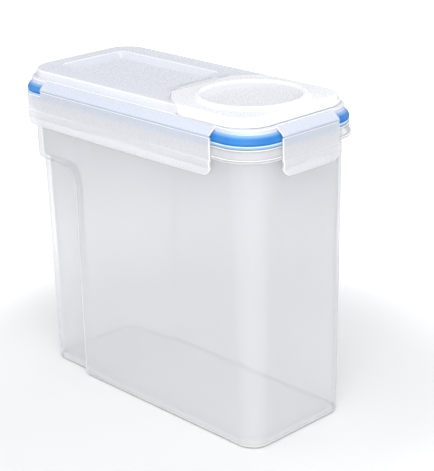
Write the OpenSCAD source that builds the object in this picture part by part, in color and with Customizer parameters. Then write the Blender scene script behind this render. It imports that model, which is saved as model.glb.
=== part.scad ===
// Cereal container with a clip-down lid and a flip cap over its pour opening.
// X runs along the container towards the pouring end, Y across it and Z up; the base is at Z = 0.

/* [Container] */
// Length of the rim
rim_l = 209.6; // [190:0.1:230]
// Width of the rim
rim_w = 95.6; // [88:0.1:110]
// Corner radius of the rim, in plan
rim_r = 22; // [18:0.5:24]
// Height of the mouth above the base
body_h = 186; // [150:1:240]
// How far the rim stands out past the wall
overhang = 4.1; // [3:0.1:6]
// How much each end leans in from mouth to base
end_lean = 3.2; // [0.5:0.1:6]
// How much each side leans in from mouth to base
side_lean = 3.4; // [0.5:0.1:6]
// Corner radius of the base, in plan
base_r = 12.5; // [9:0.5:16]
// Thickness of the walls
wall = 1.8; // [1.2:0.1:2.4]
// Thickness of the floor
floor_t = 2; // [1.4:0.1:3]
// Size of the rounded edge round the base
foot_round = 2.6; // [1:0.1:4]
// Height of the rim's outer band
rim_band_h = 7.3; // [6:0.1:10]
// Thickness of the rim's outer band and of its top
rim_t = 1.8; // [1.2:0.1:2.4]
// How far the bead at the rim's front corners stands out
bead_out = 1.2; // [0.6:0.1:1.8]
// Height of that bead
bead_h = 1.9; // [1:0.1:3]
// Gap between the ends of that bead and the flaps
bead_gap = 1; // [0.5:0.1:3]

/* [Grip recesses] */
// Length of each recess, from the rear of the rim to its front edge at the top
grip_l = 50; // [36:1:60]
// How much shorter the recess is at the base
grip_slant = 3; // [0:0.5:12]
// Height of the recess
grip_h = 144; // [100:1:144]
// Depth of the recess
grip_depth = 5; // [3:0.1:7]
// Radius of the recess's upper front corner
grip_r = 11; // [6:0.5:16]

/* [Lid] */
// Thickness of the lid's skin
lid_t = 1.6; // [1.2:0.1:2]
// Height of the lid's lower deck above the mouth
deck_rise = 10.8; // [10.2:0.1:12]
// Height of the raised top above the deck
top_rise = 5.4; // [4.8:0.1:7]
// How far the raised top is set in from the rim at the ends
end_inset = 6.6; // [5.6:0.1:8]
// How far the raised top is set in from the rim at the sides
side_inset = 4.6; // [4.3:0.1:8]
// Rear corner radius of the raised top
top_rear_r = 18; // [13:0.5:20]
// Front corner radius of the raised top
top_front_r = 18; // [14:0.5:22]
// Size of the rounded edge round the raised top
top_round = 2.5; // [1:0.1:3]
// How far the lid is cut back at the corners, where the gasket shows
corner_cut = 4.2; // [3.6:0.1:4.3]
// Depth of the plug wall below the mouth's edge
plug_depth = 5.3; // [3:0.1:9]
// Clearance of the plug wall inside the mouth
plug_gap = 0.5; // [0.3:0.05:1]

/* [Sunk panel in the lid] */
// Width of the sunk panel at its top edge
panel_w = 52; // [36:1:60]
// Depth of the sunk panel
panel_depth = 4; // [2:0.1:4.5]
// Slope of the panel's sides, as a distance in plan
panel_slope = 3.5; // [1:0.1:5]
// Corner radius of the panel's top edge
panel_r = 6; // [5.5:0.5:10]
// Width of the land between the panel and the front face of the raised top
panel_land = 2.5; // [2:0.1:6]
// Width of the land behind the panel
panel_rear_land = 14; // [8:0.5:40]

/* [Gasket] */
// Gap between the gasket and the surfaces it seats on
seat_gap = 0.3; // [0.2:0.05:0.4]
// Gap between the gasket and the ledge above it
gasket_gap = 0.8; // [0.3:0.1:0.9]
// How far the gasket is set in from the rim's face
gasket_inset = 0.2; // [0.1:0.05:0.5]
// Width of the gasket's sloped upper face, in plan
gasket_slope = 3.8; // [3:0.1:4.2]
// Height of the gasket's lower lip
lip_h = 1.8; // [1:0.1:2.2]
// Height and depth of the groove above that lip
groove = 0.8; // [0.4:0.1:1]

/* [Snap flaps] */
// Length of the two flaps on the long sides
long_flap_l = 150.4; // [120:0.1:151]
// Length of the two flaps on the ends
short_flap_l = 46.4; // [36:0.1:48]
// Thickness of the flaps
flap_t = 1.5; // [1.2:0.1:2]
// Height of the flaps below their hinges
flap_h = 22; // [19:0.1:26]
// Height of the hinges above the mouth
hinge_rise = 5; // [4.6:0.1:5.4]
// Gap between a closed flap and the rim
flap_gap = 0.3; // [0.2:0.05:0.4]
// How far the flaps' lower lips turn out
lip_out = 1.4; // [1:0.1:3]
// How far the ridge across each flap stands out
ridge_out = 0.6; // [0.3:0.1:1]
// Height of that ridge above the flap's lower edge
ridge_z = 8.6; // [7:0.1:10]
// How far the long flaps reach past their hinges, towards the rear
tail_l = 13; // [0:0.5:14]
// How much lower the upper edge of that part is
tail_drop = 2.6; // [1:0.1:6]
// Radius of the flaps' lower corners
flap_r = 5; // [1:0.5:6]
// Thickness of the living hinges
web_t = 0.5; // [0.3:0.05:0.6]
// Height of the living hinges
web_h = 1; // [0.8:0.1:1.4]

/* [Flip cap] */
// Gap between the cap and the raised top behind it
cap_gap = 0.6; // [0.4:0.1:1]
// Distance from the front of the rim to the cap's rear edge
cap_l = 92.8; // [88:0.1:98]
// How much more the radius of the cap's rear arc is than half its width
cap_arc_over = 1.8; // [1:0.1:6]
// Distance from the hinge line to the cap's edge on each side of the knuckle
cap_step = 5.2; // [5:0.1:6]
// Thickness of the cap's skin
cap_t = 1.5; // [1.2:0.1:1.8]
// How far the ring round the dish stands above the cap's edge
ring_rise = 1.8; // [0.8:0.1:2.4]
// Distance from the front of the rim to the middle of the dish
dish_end = 44.8; // [43:0.1:48]
// Radius of the dish
dish_r = 30; // [28.5:0.5:31]
// Width of the ring round the dish
ring_w = 2.5; // [1:0.1:3]
// Width of the slope outside that ring
ring_slope = 2; // [1:0.1:4]
// Depth of the dish
dish_depth = 4.2; // [3:0.1:4.4]
// Width of the curved bank between the dish's floor and its rim
dish_bank = 8; // [6:0.1:9]
// Width of the steep edge at the dish's rim
dish_edge = 2.6; // [1.6:0.1:3]
// How far the bead along the cap's lower edge stands out
cap_bead = 0.8; // [0.4:0.1:1]

/* [Cap hinge] */
// Radius of the knuckle
knuckle_r = 2.4; // [2.2:0.1:2.4]
// Length of the knuckle
knuckle_l = 27.6; // [20:0.2:30]
// Width of each bearing lug
lug_w = 4; // [3:0.1:5]
// Radius of the trunnions
pin_r = 1.2; // [1:0.05:1.3]
// Radial clearance of the trunnions in their bores
pin_gap = 0.05; // [0.02:0.01:0.1]
// Clearance between the knuckle and the lugs, and at the trunnions' ends
side_gap = 0.3; // [0.2:0.05:0.5]

/* [Pour opening] */
// Radius of the pour opening
spout_r = 26; // [26:0.1:26.4]
// Wall of the collar round the opening
collar_t = 1.8; // [1.2:0.1:2]
// Height of the collar above the deck
collar_h = 0.8; // [0.6:0.1:1]
// Clearance between the cap's plug ring and the opening
ring_gap = 0.8; // [0.7:0.05:1]
// Wall of the plug ring
ring_t = 2.8; // [2.4:0.1:3.2]
// Clearance between the cap's seal and the opening
seal_gap = 0.25; // [0.2:0.05:0.35]
// Height of the seal
seal_h = 1.8; // [1.4:0.1:2]
// Depth of the seal's groove in the plug ring
seal_groove = 1.2; // [0.8:0.1:1.4]
// Clearance between the seal and the groove
seal_fit = 0.05; // [0.02:0.01:0.1]
// How far the plug ring reaches below the deck
plug_reach = 0.6; // [0:0.1:2]
// Height of the flange under the seal
flange_h = 0.8; // [0.6:0.1:1]

/* [Hidden] */

// Facets of the exact arcs, and of the outlines that are blended into shells
arc_fn = 96;
shell_fn = 32;
// Thickness of the thin slices that shells are blended from
slice_t = 0.02;
// How far a cut runs past the surface it goes through
past = 1;
// Share of a rounded edge's radius at which a slice meets its arc
arc_share = 0.3;
// Height of the ridge on a flap, and a height that clears the lid and the cap
ridge_h = 2 * flap_t;
clear_h = 4 * top_rise;
// Shares of the dish's depth at the foot and top of its bank and at the top of its edge
bank_foot = 0.1;
bank_top = 0.4;
edge_top = 0.8;
// Share of the dish's edge in plan that its uppermost part takes
edge_lip = 0.2;

// Levels above the base
rim_under_z = body_h - rim_band_h;
deck_z = body_h + deck_rise;
deck_under_z = deck_z - lid_t;
top_z = deck_z + top_rise;
hinge_z = body_h + hinge_rise;
shoulder_z = hinge_z + web_h / 2;
flap_top_z = hinge_z - web_h / 2;
flap_low_z = flap_top_z - flap_h;
ring_z = top_z + ring_rise;
cap_low_z = deck_z + seat_gap;
knuckle_z = top_z - knuckle_r;

// Plan sizes
mouth_l = rim_l - 2 * overhang;
mouth_w = rim_w - 2 * overhang;
plug_inset = overhang + wall + plug_gap;
top_half_l = rim_l / 2 - end_inset;
top_half_w = rim_w / 2 - side_inset;
grip_x = grip_l - rim_l / 2;

// The cap and its hinge
cap_rear_x = rim_l / 2 - cap_l;
cap_arc_r = top_half_w + cap_arc_over;
cap_arc_x = cap_rear_x + cap_arc_r;
knuckle_x = cap_rear_x + knuckle_r;
// Room behind the knuckle, so that the open cap clears the raised top
knuckle_room = 1;
knuckle_back_x = cap_rear_x - knuckle_room;
cap_start_x = knuckle_x + cap_step;
lug_in_y = knuckle_l / 2 + side_gap;
lug_out_y = lug_in_y + lug_w;

// The sunk panel's place
panel_front_x = knuckle_back_x - panel_land;
panel_rear_x = panel_rear_land - top_half_l;
panel_l = panel_front_x - panel_rear_x;
panel_x = panel_front_x - panel_l / 2;

// The plug ring and its seal, under the dish
ring_r = spout_r - ring_gap;
ring_low_z = deck_under_z - plug_reach;
seal_low_z = ring_low_z + flange_h;
seal_r = spout_r - seal_gap;
groove_r = ring_r - seal_groove;
dish_x = rim_l / 2 - dish_end;
dish_floor_z = ring_z - dish_depth;
dish_floor_r = dish_r - dish_bank;

// Sides of the lid: distance from its middle to the rim, heading, flap length and flap tail
NEAR = [rim_w / 2, -90, long_flap_l, tail_l];
FRONT = [rim_l / 2, 0, short_flap_l, 0];
REAR = [rim_l / 2, 180, short_flap_l, 0];

// Colours
clear_grey = "#d9dce2";
lid_white = "#dfe3ea";
cap_white = "#f4f5f7";
seal_blue = "#2f86dc";

// An upright rounded outline, with its own radii at the rear and the front
module outline(half_l, half_w, rear_r, front_r, fn = arc_fn) {
  polygon([
    [-half_l + rear_r, -half_w], [half_l - front_r, -half_w],
    [half_l, -half_w + front_r], [half_l, half_w - front_r],
    [half_l - front_r, half_w], [-half_l + rear_r, half_w],
    [-half_l, half_w - rear_r], [-half_l, -half_w + rear_r]
  ]);
  for (side = [-1, 1]) {
    translate([-half_l + rear_r, side * (half_w - rear_r)])
      circle(r = rear_r, $fn = fn);
    translate([half_l - front_r, side * (half_w - front_r)])
      circle(r = front_r, $fn = fn);
  }
}

// The rim's outline, set in by a distance
module rim_outline(inset, fn = arc_fn) {
  r = rim_r - inset;
  outline(rim_l / 2 - inset, rim_w / 2 - inset, r, r, fn);
}

// A flat plate of an outline from one level to another
module plate(low_z, high_z) {
  translate([0, 0, low_z])
    linear_extrude(high_z - low_z)
      children();
}

// A thin slice of the leaning body at a level, set in by a distance
module body_slice(z, inset) {
  share = z / body_h;
  r = base_r + (rim_r - overhang - base_r) * share - inset;
  plate(z, z + slice_t)
    outline(
      mouth_l / 2 - end_lean * (1 - share) - inset,
      mouth_w / 2 - side_lean * (1 - share) - inset,
      r, r, shell_fn
    );
}

// The body's outside, with the rounded edge round its base
module body_outside() {
  hull() {
    body_slice(0, foot_round);
    body_slice(foot_round * arc_share, foot_round * arc_share);
    body_slice(foot_round, 0);
    body_slice(body_h - slice_t, 0);
  }
}

// The body's inside, open at the mouth
module body_inside() {
  hull() {
    body_slice(floor_t, wall + foot_round);
    body_slice(floor_t + foot_round, wall);
    body_slice(body_h + past, wall);
  }
}

// The side view of a grip recess, grown by a distance
module grip_outline(grow) {
  rear_x = -rim_l;
  front_x = grip_x + grow;
  high_z = grip_h + grow;
  r = grip_r + grow;
  polygon([
    [rear_x, -past], [front_x - grip_slant, -past], [front_x, high_z - r],
    [front_x - r, high_z], [rear_x, high_z]
  ]);
  translate([front_x - r, high_z - r])
    circle(r = r, $fn = arc_fn);
}

// What both grip recesses take away, with the recess's wall moved in by a distance
module grip_cuts(grow) {
  lean = atan(side_lean / body_h);
  face_y = mouth_w / 2 - side_lean - grip_depth - grow;
  for (side = [0, 1])
    mirror([0, side, 0])
      translate([0, face_y, 0])
        rotate([-lean, 0, 0])
          rotate([90, 0, 0])
            translate([0, 0, -rim_w])
              linear_extrude(rim_w)
                grip_outline(grow);
}

// The rim's two front corners, between the flaps
module front_corners() {
  start_x = long_flap_l / 2 + bead_gap;
  start_y = short_flap_l / 2 + bead_gap;
  for (side = [0, 1])
    mirror([0, side, 0])
      translate([start_x, start_y])
        square([rim_l, rim_w]);
}

// The rim: a flat top, an outer band, and a bead along the band's foot at the front corners
module rim() {
  plate(body_h - rim_t, body_h)
    rim_outline(0);
  difference() {
    plate(rim_under_z, body_h - rim_t / 2)
      rim_outline(0);
    plate(rim_under_z - past, body_h)
      rim_outline(rim_t);
  }
  plate(rim_under_z, rim_under_z + bead_h)
    difference() {
      intersection() {
        rim_outline(-bead_out);
        front_corners();
      }
      rim_outline(rim_t / 2);
    }
}

module container_body() {
  color(clear_grey)
    difference() {
      union() {
        difference() {
          body_outside();
          grip_cuts(0);
        }
        rim();
      }
      difference() {
        body_inside();
        grip_cuts(wall);
      }
    }
}

// Places a piece that is drawn for the +X side on one of the four sides
module on_side(side) {
  rotate([0, 0, side[1]])
    translate([side[0], 0, 0])
      children();
}

// Extrudes a section, drawn as distance outwards and height, along a side
module along_side(length) {
  rotate([90, 0, 0])
    linear_extrude(length, center = true)
      children();
}

// The sloped shoulder that carries a flap's hinge
module shoulder(side) {
  face_x = flap_gap + flap_t;
  slope_high_z = deck_z;
  on_side(side)
    along_side(side[2])
      polygon([
        [-plug_inset, deck_under_z], [-corner_cut, deck_under_z],
        [flap_gap / 2, shoulder_z + lid_t / 2], [flap_gap / 2, shoulder_z],
        [face_x, shoulder_z], [face_x, shoulder_z + web_h / 4],
        [face_x - flap_gap, shoulder_z + web_h],
        [-corner_cut, slope_high_z], [-plug_inset, slope_high_z]
      ]);
}

// The half of the lid in front of the raised top, grown by a distance
module front_zone(grow) {
  translate([cap_arc_x, 0])
    circle(r = cap_arc_r + grow, $fn = 2 * arc_fn);
  translate([cap_arc_x, -rim_w])
    square([rim_l, 2 * rim_w]);
}

// The outline of the raised top and of the cap, set in by a distance
module top_outline(inset, fn = arc_fn) {
  outline(top_half_l - inset, top_half_w - inset, top_rear_r - inset, top_front_r - inset, fn);
}

// The raised top as a solid, with its rounded upper edge, set in by a distance
module raised_solid(low_z, inset) {
  high_z = top_z - inset;
  edge_in = top_round * arc_share;
  hull() {
    plate(low_z, high_z - top_round)
      top_outline(inset, shell_fn);
    plate(high_z - edge_in, high_z - edge_in + slice_t)
      top_outline(inset + edge_in, shell_fn);
    plate(high_z - slice_t, high_z)
      top_outline(inset + top_round, shell_fn);
  }
}

// What the sunk panel takes away, or its skin when grown by the lid's thickness
module panel_bowl(grow, high_z) {
  half_l = panel_l / 2 + grow;
  half_w = panel_w / 2 + grow;
  r = panel_r + grow;
  floor_z = top_z - panel_depth - grow;
  translate([panel_x, 0, 0])
    hull() {
      plate(floor_z, floor_z + slice_t)
        outline(
          half_l - panel_slope, half_w - panel_slope,
          r - panel_slope, r - panel_slope, shell_fn
        );
      plate(top_z - grow, high_z)
        outline(half_l, half_w, r, r, shell_fn);
    }
}

// The raised rear part of the lid, open underneath, with an upright face before the cap
module raised_top() {
  difference() {
    raised_solid(deck_z - slice_t, 0);
    plate(deck_under_z, top_z + past)
      front_zone(cap_gap);
    plate(deck_under_z, top_z + past)
      translate([knuckle_back_x, -lug_in_y])
        square([2 * cap_arc_r, 2 * lug_in_y]);
    difference() {
      raised_solid(deck_under_z - past, lid_t);
      plate(deck_under_z - past, top_z)
        front_zone(cap_gap + lid_t);
      plate(deck_under_z - past, top_z)
        translate([knuckle_back_x - lid_t, -lug_out_y - lid_t])
          square([2 * cap_arc_r, 2 * (lug_out_y + lid_t)]);
      panel_bowl(lid_t, top_z);
    }
  }
}

// The lid's deck under the cap, and the foot of the raised top's front face
module deck() {
  plate(deck_under_z, deck_z)
    intersection() {
      rim_outline(plug_inset);
      union() {
        front_zone(cap_gap + lid_t);
        translate([knuckle_back_x - lid_t, -lug_out_y - lid_t])
          square([2 * cap_arc_r, 2 * (lug_out_y + lid_t)]);
      }
    }
}

// The ledge over the gasket and the plug wall inside the mouth
module ledge_and_plug() {
  plate(deck_under_z, deck_z)
    difference() {
      rim_outline(corner_cut);
      rim_outline(plug_inset + lid_t);
    }
  plate(body_h - plug_depth, deck_z - lid_t / 2)
    difference() {
      rim_outline(plug_inset);
      rim_outline(plug_inset + lid_t);
    }
}

// One bearing lug of the cap's hinge on each side of the knuckle
module lugs() {
  for (side = [0, 1])
    mirror([0, side, 0])
      translate([knuckle_x, lug_in_y, 0]) {
        translate([0, lug_w, knuckle_z])
          rotate([90, 0, 0])
            cylinder(r = knuckle_r, h = lug_w, $fn = arc_fn);
        translate([-knuckle_r - knuckle_room, 0, deck_z - slice_t])
          cube([knuckle_r + knuckle_room, lug_w, top_rise + slice_t]);
        translate([-past, 0, deck_z - slice_t])
          cube([past + knuckle_r, lug_w, knuckle_z - deck_z]);
      }
}

// A cylinder along the cap's hinge line
module hinge_rod(r, length) {
  translate([knuckle_x, 0, knuckle_z])
    rotate([90, 0, 0])
      cylinder(r = r, h = length, center = true, $fn = arc_fn);
}

module lid_panel() {
  color(lid_white)
    difference() {
      union() {
        ledge_and_plug();
        deck();
        raised_top();
        lugs();
        for (side = [NEAR, FRONT, REAR])
          shoulder(side);
        mirror([0, 1, 0])
          shoulder(NEAR);
        translate([dish_x, 0, deck_z - slice_t])
          cylinder(r = spout_r + collar_t, h = collar_h + slice_t, $fn = arc_fn);
      }
      panel_bowl(0, top_z + past);
      hinge_rod(pin_r + pin_gap, 2 * (lug_out_y + side_gap));
      translate([dish_x, 0, deck_under_z - past])
        cylinder(r = spout_r, h = collar_h + lid_t + 2 * past, $fn = arc_fn);
    }
}

module lid_gasket() {
  low_z = body_h + seat_gap;
  high_z = deck_under_z - gasket_gap;
  groove_z = low_z + lip_h;
  face_z = groove_z + groove;
  color(seal_blue)
    difference() {
      union() {
        plate(low_z, groove_z)
          rim_outline(gasket_inset / 2);
        plate(groove_z - slice_t, face_z + slice_t)
          rim_outline(gasket_inset + groove);
        hull() {
          plate(face_z, face_z + groove)
            rim_outline(gasket_inset, shell_fn);
          plate(high_z - slice_t, high_z)
            rim_outline(gasket_inset + gasket_slope, shell_fn);
        }
      }
      plate(low_z - past, high_z + past)
        rim_outline(plug_inset - gasket_inset);
    }
}

// A snap flap hanging from its hinge: a plate with a ridge and an out-turned lower lip
module flap(side) {
  in_x = flap_gap;
  out_x = in_x + flap_t;
  lip_x = out_x + lip_out;
  ridge_top_z = flap_low_z + ridge_z;
  lip_top_z = flap_low_z + flap_t;
  on_side(side)
    intersection() {
      along_side(side[2] + 2 * side[3])
        polygon([
          [in_x, flap_top_z], [out_x, flap_top_z], [out_x, ridge_top_z + ridge_out],
          [out_x + ridge_out, ridge_top_z], [out_x + ridge_out, ridge_top_z - ridge_h],
          [lip_x, lip_top_z], [lip_x, flap_low_z], [lip_x - flap_t, flap_low_z],
          [out_x - flap_t / 2, ridge_top_z - ridge_h - flap_t], [in_x, ridge_top_z - ridge_h]
        ]);
      rotate([90, 0, 90])
        linear_extrude(3 * lip_x, center = true)
          flap_face(side[2], side[3]);
    }
}

// The front view of a flap: square at the hinge, lower over its tail, with rounded lower corners
module flap_face(length, tail) {
  half = length / 2;
  start = -half - tail;
  tail_top_z = flap_top_z - tail_drop;
  translate([-half, flap_low_z + flap_r])
    square([length, flap_h - flap_r]);
  if (tail > 0)
    translate([start, flap_low_z + flap_r])
      square([tail + flap_r, tail_top_z - flap_low_z - flap_r]);
  translate([start + flap_r, flap_low_z])
    square([length + tail - 2 * flap_r, 2 * flap_r]);
  for (y = [start + flap_r, half - flap_r])
    translate([y, flap_low_z + flap_r])
      circle(r = flap_r, $fn = arc_fn);
}

// A living hinge: a thin strip from the shoulder to the flap
module hinge_web(side) {
  out_x = flap_gap + flap_t;
  on_side(side)
    translate([out_x - web_t, -side[2] / 2, flap_top_z])
      cube([web_t, side[2], web_h]);
}

module near_flap() {
  color(lid_white)
    flap(NEAR);
}

module far_flap() {
  color(lid_white)
    mirror([0, 1, 0])
      flap(NEAR);
}

module front_flap() {
  color(lid_white)
    flap(FRONT);
}

module rear_flap() {
  color(lid_white)
    flap(REAR);
}

module near_hinge_web() {
  color(lid_white)
    hinge_web(NEAR);
}

module far_hinge_web() {
  color(lid_white)
    mirror([0, 1, 0])
      hinge_web(NEAR);
}

module front_hinge_web() {
  color(lid_white)
    hinge_web(FRONT);
}

module rear_hinge_web() {
  color(lid_white)
    hinge_web(REAR);
}

// The cap's outline in plan, set in by one distance at its sides and another at its rear arc
module cap_outline(inset, arc_inset) {
  intersection() {
    top_outline(inset, shell_fn);
    union() {
      translate([cap_arc_x, 0])
        circle(r = cap_arc_r - arc_inset, $fn = 2 * shell_fn);
      translate([cap_arc_x, -rim_w])
        square([rim_l, 2 * rim_w]);
    }
  }
}

// The cap as a solid that rises to the ring round its dish, set in by a distance
module cap_solid(low_z, inset) {
  high_z = top_z - inset;
  edge_in = top_round * arc_share;
  ring_out_r = dish_r + ring_w - inset;
  hull() {
    plate(low_z, high_z - top_round)
      cap_outline(inset, inset);
    plate(high_z - edge_in, high_z - edge_in + slice_t)
      cap_outline(inset + edge_in, inset + edge_in);
    plate(high_z - slice_t, high_z)
      cap_outline(inset + top_round, inset + top_round);
    translate([dish_x, 0, high_z])
      cylinder(r1 = ring_out_r + ring_slope, r2 = ring_out_r, h = ring_rise, $fn = 2 * shell_fn);
  }
}

// The part of the cap behind its hinge, which is left away
module behind_hinge() {
  translate([-rim_l, -rim_w, deck_under_z])
    cube([rim_l + knuckle_x, 2 * rim_w, clear_h]);
  for (side = [0, 1])
    mirror([0, side, 0])
      translate([-rim_l, knuckle_l / 2, deck_under_z])
        cube([rim_l + cap_start_x, rim_w, clear_h]);
}

// The dish as a turned shape: its upper face, or its underside when dropped
module dish_turn(drop, high_z) {
  edge_r = dish_r - dish_edge;
  floor_z = dish_floor_z - drop;
  translate([dish_x, 0, 0])
    rotate_extrude($fn = arc_fn)
      polygon([
        [0, floor_z], [dish_floor_r, floor_z + dish_depth * bank_foot],
        [edge_r, floor_z + dish_depth * bank_top],
        [dish_r - dish_edge * edge_lip, floor_z + dish_depth * edge_top],
        [dish_r, floor_z + dish_depth], [dish_r, high_z], [0, high_z]
      ]);
}

// The plug ring under the dish, with the groove that holds the seal
module plug_ring() {
  translate([dish_x, 0, 0])
    rotate_extrude($fn = arc_fn)
      polygon([
        [ring_r - ring_t, ring_low_z], [ring_r, ring_low_z], [ring_r, seal_low_z],
        [groove_r, seal_low_z], [groove_r, seal_low_z + seal_h],
        [ring_r, seal_low_z + seal_h], [ring_r, dish_floor_z], [ring_r - ring_t, dish_floor_z]
      ]);
}

module flip_cap() {
  color(cap_white)
    difference() {
      union() {
        difference() {
          union() {
            cap_solid(cap_low_z, 0);
            plate(cap_low_z, cap_low_z + cap_t)
              cap_outline(-cap_bead, 0);
          }
          cap_solid(cap_low_z - past, cap_t);
          behind_hinge();
        }
        difference() {
          dish_turn(cap_t, ring_z - cap_t / 2);
          dish_turn(0, ring_z);
        }
        plug_ring();
        hinge_rod(knuckle_r, knuckle_l);
        hinge_rod(pin_r, 2 * lug_out_y);
        translate([knuckle_x, -knuckle_l / 2, cap_low_z])
          cube([cap_start_x - knuckle_x + cap_t, knuckle_l, top_z - cap_low_z]);
      }
      dish_turn(0, ring_z + past);
    }
}

module cap_seal() {
  color(seal_blue)
    translate([dish_x, 0, seal_low_z + seal_fit])
      difference() {
        cylinder(r = seal_r, h = seal_h - 2 * seal_fit, $fn = arc_fn);
        translate([0, 0, -past])
          cylinder(r = groove_r + seal_fit, h = seal_h + 2 * past, $fn = arc_fn);
      }
}

container_body();
lid_panel();
lid_gasket();
near_flap();
far_flap();
front_flap();
rear_flap();
near_hinge_web();
far_hinge_web();
front_hinge_web();
rear_hinge_web();
flip_cap();
cap_seal();
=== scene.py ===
"""Studio scene of a frosted cereal container with a clip-down lid and a flip cap.

The scene is in metres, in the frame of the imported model: X runs along the container towards
the pouring end, Y across it and Z up, with the base at Z = 0. The pieces' own sizes, from
Corner to FlipCap, are in millimetres.
"""
import logging
import math
from dataclasses import dataclass, field
from enum import Enum

import bmesh
import bpy
from mathutils import Matrix, Vector


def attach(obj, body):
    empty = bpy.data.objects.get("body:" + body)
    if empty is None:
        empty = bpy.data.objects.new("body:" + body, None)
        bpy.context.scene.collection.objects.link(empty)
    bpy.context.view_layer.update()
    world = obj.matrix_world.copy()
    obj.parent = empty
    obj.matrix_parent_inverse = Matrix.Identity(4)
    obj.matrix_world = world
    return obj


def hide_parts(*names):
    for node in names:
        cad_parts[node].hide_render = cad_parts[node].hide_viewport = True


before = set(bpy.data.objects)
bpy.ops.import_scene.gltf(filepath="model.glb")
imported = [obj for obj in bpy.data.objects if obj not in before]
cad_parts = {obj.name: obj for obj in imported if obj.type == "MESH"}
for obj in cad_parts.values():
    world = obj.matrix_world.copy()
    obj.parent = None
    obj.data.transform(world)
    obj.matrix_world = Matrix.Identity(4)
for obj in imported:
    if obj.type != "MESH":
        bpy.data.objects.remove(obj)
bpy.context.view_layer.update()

LIGHT_LAYER = "edge_light"
MM = 0.001
# Points nearer than WELD are one point, edges shorter than SLIVER go, and level rings are
# held APART while they are joined
WELD, SLIVER, APART = 0.000002, 0.000004, 0.05
WHITE = (1.0, 1.0, 1.0)
log = logging.getLogger("container")

Colour = tuple[float, float, float]
Socket = bpy.types.NodeSocket
Ring = list[bmesh.types.BMEdge]


class Slot(Enum):
    """The record's material slots."""

    BODY = "body_plastic"
    LID = "lid_plastic"
    CAP = "cap_plastic"
    SEAL = "seal_rubber"


class Rider(Enum):
    """The bodies that pieces ride on."""

    CONTAINER = "container"
    LID = "lid"
    NEAR_FLAP = "near_flap"
    FAR_FLAP = "far_flap"
    FRONT_FLAP = "front_flap"
    REAR_FLAP = "rear_flap"
    CAP = "cap"


class Axis(Enum):
    """The axes, by their place in a vector."""

    X = 0
    Y = 1
    Z = 2


# ---------------------------------------------------------------- finishes


class Recipe:
    """A node tree under construction, with short names for the nodes used here."""

    def __init__(self, owner: bpy.types.Material | bpy.types.World) -> None:
        """Starts an empty node tree.

        Args:
            owner: the material or the world that the tree belongs to.
        """
        owner.use_nodes = True
        self.owner = owner
        self.tree = owner.node_tree
        self.tree.nodes.clear()
        self.output = self.node("OutputWorld" if isinstance(owner, bpy.types.World) else "OutputMaterial")
        self.place = self.node("TexCoord").outputs["Object"]
        self.height = self.node("SeparateXYZ", {0: self.place}).outputs["Z"]

    def node(
        self, kind: str, inputs: dict[int | str, object] | None = None, **settings: object,
    ) -> bpy.types.Node:
        """Adds a node.

        Args:
            kind: the node's type name without its ShaderNode prefix.
            inputs: a socket or a value for each input, by place or name; a colour has no alpha.
            **settings: attributes to set on it.

        Returns:
            The new node.
        """
        made = self.tree.nodes.new("ShaderNode" + kind)
        for key, value in settings.items():
            setattr(made, key, value)
        for key, value in (inputs or {}).items():
            socket = made.inputs[key]
            if isinstance(value, Socket):
                self.tree.links.new(value, socket)
            else:
                socket.default_value = (*value, 1.0) if socket.type == "RGBA" else value
        return made

    def math(self, operation: str, a: object, b: object = 0.0, clamp: bool = False) -> Socket:
        """Adds a Math node, whose inputs are sockets or numbers."""
        return self.node("Math", {0: a, 1: b}, operation=operation, use_clamp=clamp).outputs[0]

    def noise(self, cells: float, octaves: float) -> Socket:
        """Adds noise on the object's own coordinates, in cells per metre; it averages 0.5."""
        inputs = {"Vector": self.place, "Scale": cells, "Detail": octaves}
        return self.node("TexNoise", inputs).outputs["Fac"]

    def ramp(self, value: Socket, low: float, high: float, start: float = 0.0, end: float = 1.0) -> Socket:
        """Maps a value smoothly, from low and high to start and end."""
        inputs = {"Value": value, "From Min": low, "From Max": high, "To Min": start, "To Max": end}
        return self.node("MapRange", inputs, interpolation_type="SMOOTHSTEP").outputs["Result"]

    def patches(self, cells: float, octaves: float, start: float = 0.0, end: float = 1.0) -> Socket:
        """Adds soft patches, in cells per metre, that vary from start to end."""
        return self.ramp(self.noise(cells, octaves), 0.3, 0.7, start, end)

    def edge_light(self) -> Socket:
        """Reads how strongly light gathers at each point, from 0 to 1."""
        return self.node("Attribute", attribute_name=LIGHT_LAYER).outputs["Fac"]

    def mix(self, share: Socket, a: object, b: object) -> Socket:
        """Mixes two colours, each a socket or three numbers, by the share of the second."""
        return self.node("Mix", {0: share, 6: a, 7: b}, data_type="RGBA").outputs[2]

    def blend(self, share: object, a: bpy.types.Node, b: bpy.types.Node) -> bpy.types.Node:
        """Mixes two shaders by the share of the second."""
        return self.node("MixShader", {0: share, 1: a.outputs[0], 2: b.outputs[0]})

    def moulded(
        self, colour: Socket, roughness: Socket, ior: float, cells: float, grain: float, strength: float,
    ) -> bpy.types.Node:
        """Adds a glossy surface with a moulded grain.

        Args:
            colour: its colour.
            roughness: its roughness.
            ior: its index of refraction.
            cells: grains per metre.
            grain: depth of the grain in metres.
            strength: how much of the grain shows.

        Returns:
            The shader.
        """
        bump = {"Distance": grain, "Strength": strength, "Height": self.noise(cells, 2.0)}
        normal = self.node("Bump", bump).outputs[0]
        inputs = {"Base Color": colour, "Roughness": roughness, "IOR": ior, "Normal": normal}
        return self.node("BsdfPrincipled", inputs)

    def surface(self, shader: bpy.types.Node) -> None:
        """Gives the tree's output its shader."""
        self.tree.links.new(shader.outputs[0], self.output.inputs["Surface"])


@dataclass(frozen=True)
class Tint:
    """A colour laid over the plastic's own.

    Attributes:
        share: how much of it shows at each point.
        colour: the colour.
        haze: how much cloudier the plastic is where all of it shows.
    """

    share: Socket
    colour: Colour
    haze: float = 0.0


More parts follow.
